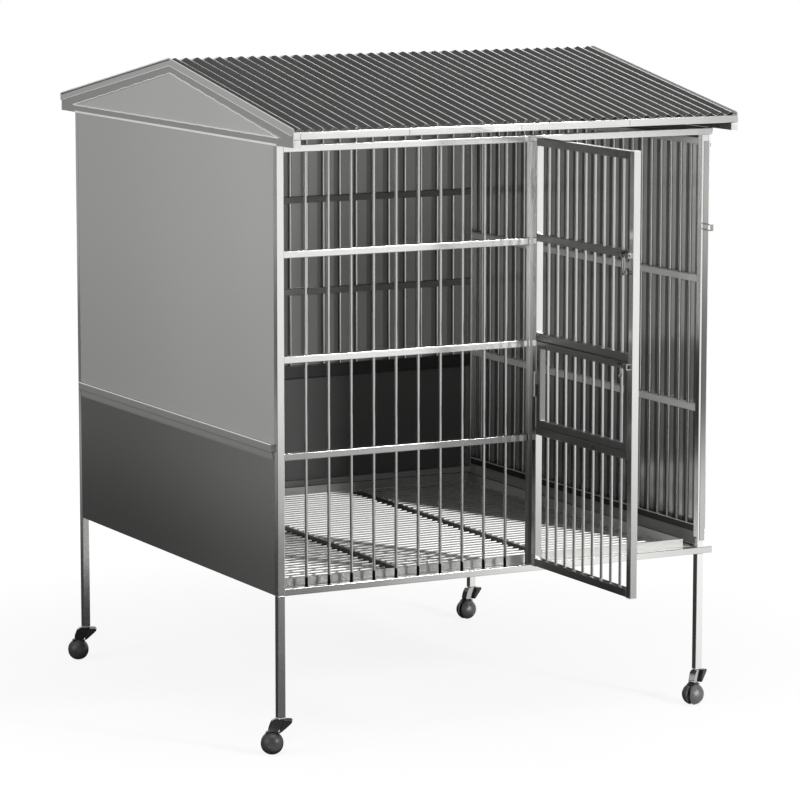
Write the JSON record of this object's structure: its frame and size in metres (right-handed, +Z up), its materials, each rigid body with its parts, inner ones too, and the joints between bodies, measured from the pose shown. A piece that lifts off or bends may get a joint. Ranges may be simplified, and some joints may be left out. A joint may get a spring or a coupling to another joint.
{
  "type": "dog cage",
  "caption": "Steel kennel on ball castors with a corrugated gable roof, solid left and rear walls, barred front and right side, swing door with feed hatch and slide bolts.",
  "frame": {"origin": "middle of the outline on the ground, with the door open at a right angle", "axes": "+X to the right along the front, +Y from front to back, +Z up"},
  "size_m": [1.3538, 1.9152, 1.7499],
  "materials": {
    "tube_steel": "satin stainless tube",
    "bar_steel": "drawn stainless rod",
    "sheet_steel": "smooth stainless sheet",
    "roof_steel": "corrugated sheet",
    "hardware": "bright hinges, bolts and staples",
    "plug_plastic": "moulded plugs",
    "horn_metal": "cast castor horn",
    "ball_plastic": "dark ball wheel",
    "brake_plastic": "black brake pedal"
  },
  "bodies": {
    "cage": {"post_front_left": "tube_steel", "post_front_right": "tube_steel", "post_rear_left": "tube_steel", "post_rear_right": "tube_steel", "front_header_rail": "tube_steel", "front_sill_rail": "tube_steel", "hinge_mullion": "tube_steel", "front_cross_rails": "tube_steel", "rear_rails": "tube_steel", "rear_seam_rail": "tube_steel", "left_rails": "tube_steel", "right_rails": "tube_steel", "floor_ledgers": "tube_steel", "roof_tubes": "tube_steel", "rake_tubes": "tube_steel", "rake_trims": "tube_steel", "left_seam_rail": "tube_steel", "front_bars": "bar_steel", "rear_bars": "bar_steel", "right_bars": "bar_steel", "floor_grids": "bar_steel", "rear_upper_sheet": "sheet_steel", "left_upper_sheet": "sheet_steel", "gable_sheets": "sheet_steel", "right_pan": "sheet_steel", "rear_lower_sheet": "sheet_steel", "left_lower_sheet": "sheet_steel", "floor_lip": "sheet_steel", "floor_beams": "sheet_steel", "roof_sheet_front": "roof_steel", "roof_sheet_rear": "roof_steel", "door_hinge_fixed": "hardware", "door_keeper": "hardware", "post_bolts": "hardware", "tube_plugs": "plug_plastic", "castor_sockets": "plug_plastic"},
    "door": {"door_stiles": "tube_steel", "door_rails": "tube_steel", "door_bars": "bar_steel", "door_hinge_halves": "hardware", "door_plugs": "plug_plastic", "bolt_guides": "hardware", "hatch_keeper": "hardware"},
    "hatch": {"hatch_frame": "tube_steel", "hatch_bars": "bar_steel", "hatch_fittings": "hardware"},
    "door_bolt": {"door_bolt": "hardware"},
    "hatch_bolt": {"hatch_bolt": "hardware"},
    "castor_front_left": {"castor_horn_front_left": "horn_metal"},
    "wheel_front_left": {"castor_wheel_front_left": "ball_plastic"},
    "pedal_front_left": {"castor_pedal_front_left": "brake_plastic"},
    "castor_rear_left": {"castor_horn_rear_left": "horn_metal"},
    "wheel_rear_left": {"castor_wheel_rear_left": "ball_plastic"},
    "pedal_rear_left": {"castor_pedal_rear_left": "brake_plastic"},
    "castor_front_right": {"castor_horn_front_right": "horn_metal"},
    "wheel_front_right": {"castor_wheel_front_right": "ball_plastic"},
    "pedal_front_right": {"castor_pedal_front_right": "brake_plastic"},
    "castor_rear_right": {"castor_horn_rear_right": "horn_metal"},
    "wheel_rear_right": {"castor_wheel_rear_right": "ball_plastic"},
    "pedal_rear_right": {"castor_pedal_rear_right": "brake_plastic"}
  },
  "joints": [
    {"name": "door_swing", "type": "hinge", "parent": "cage", "child": "door", "pos_m": [0.11836, -0.44609, 0.997], "axis": [0, 0, -1], "range_deg": [-90, 15]},
    {"name": "hatch_swing", "type": "hinge", "parent": "door", "child": "hatch", "pos_m": [0.09736, -0.47359, 0.91875], "axis": [0, 0, -1], "range_deg": [0, 75]},
    {"name": "door_bolt_slide", "type": "slide", "parent": "door", "child": "door_bolt", "axis": [0, -1, 0], "range_m": [0, 0.018]},
    {"name": "hatch_bolt_slide", "type": "slide", "parent": "hatch", "child": "hatch_bolt", "axis": [0, -1, 0], "range_m": [0, 0.014]},
    {"name": "castor_swivel_front_left", "type": "hinge", "parent": "cage", "child": "castor_front_left", "pos_m": [-0.62014, -0.42959, 0.097], "axis": [0, 0, 1], "continuous": true},
    {"name": "wheel_spin_front_left", "type": "hinge", "parent": "castor_front_left", "child": "wheel_front_left", "pos_m": [-0.63956, -0.41926, 0.02949], "axis": [-0.4695, -0.8829, 0], "continuous": true},
    {"name": "pedal_tilt_front_left", "type": "hinge", "parent": "castor_front_left", "child": "pedal_front_left", "pos_m": [-0.60822, -0.43593, 0.06199], "axis": [0.4695, 0.8829, 0], "range_deg": [0, 12]},
    {"name": "castor_swivel_rear_left", "type": "hinge", "parent": "cage", "child": "castor_rear_left", "pos_m": [-0.62014, 0.84441, 0.097], "axis": [0, 0, 1], "continuous": true},
    {"name": "wheel_spin_rear_left", "type": "hinge", "parent": "castor_rear_left", "child": "wheel_rear_left", "pos_m": [-0.64053, 0.85265, 0.02949], "axis": [-0.3746, -0.9272, 0], "continuous": true},
    {"name": "pedal_tilt_rear_left", "type": "hinge", "parent": "castor_rear_left", "child": "pedal_rear_left", "pos_m": [-0.60762, 0.83935, 0.06199], "axis": [0.3746, 0.9272, 0], "range_deg": [0, 12]},
    {"name": "castor_swivel_front_right", "type": "hinge", "parent": "cage", "child": "castor_front_right", "pos_m": [0.63586, -0.42959, 0.097], "axis": [0, 0, 1], "continuous": true},
    {"name": "wheel_spin_front_right", "type": "hinge", "parent": "castor_front_right", "child": "wheel_front_right", "pos_m": [0.61721, -0.44125, 0.02949], "axis": [0.5299, -0.848, 0], "continuous": true},
    {"name": "pedal_tilt_front_right", "type": "hinge", "parent": "castor_front_right", "child": "pedal_front_right", "pos_m": [0.64731, -0.42244, 0.06199], "axis": [-0.5299, 0.848, 0], "range_deg": [0, 12]},
    {"name": "castor_swivel_rear_right", "type": "hinge", "parent": "cage", "child": "castor_rear_right", "pos_m": [0.63586, 0.84441, 0.097], "axis": [0, 0, 1], "continuous": true},
    {"name": "wheel_spin_rear_right", "type": "hinge", "parent": "castor_rear_right", "child": "wheel_rear_right", "pos_m": [0.61532, 0.83652, 0.02949], "axis": [0.3584, -0.9336, 0], "continuous": true},
    {"name": "pedal_tilt_rear_right", "type": "hinge", "parent": "castor_rear_right", "child": "pedal_rear_right", "pos_m": [0.64847, 0.84925, 0.06199], "axis": [-0.3584, 0.9336, 0], "range_deg": [0, 12]}
  ]
}
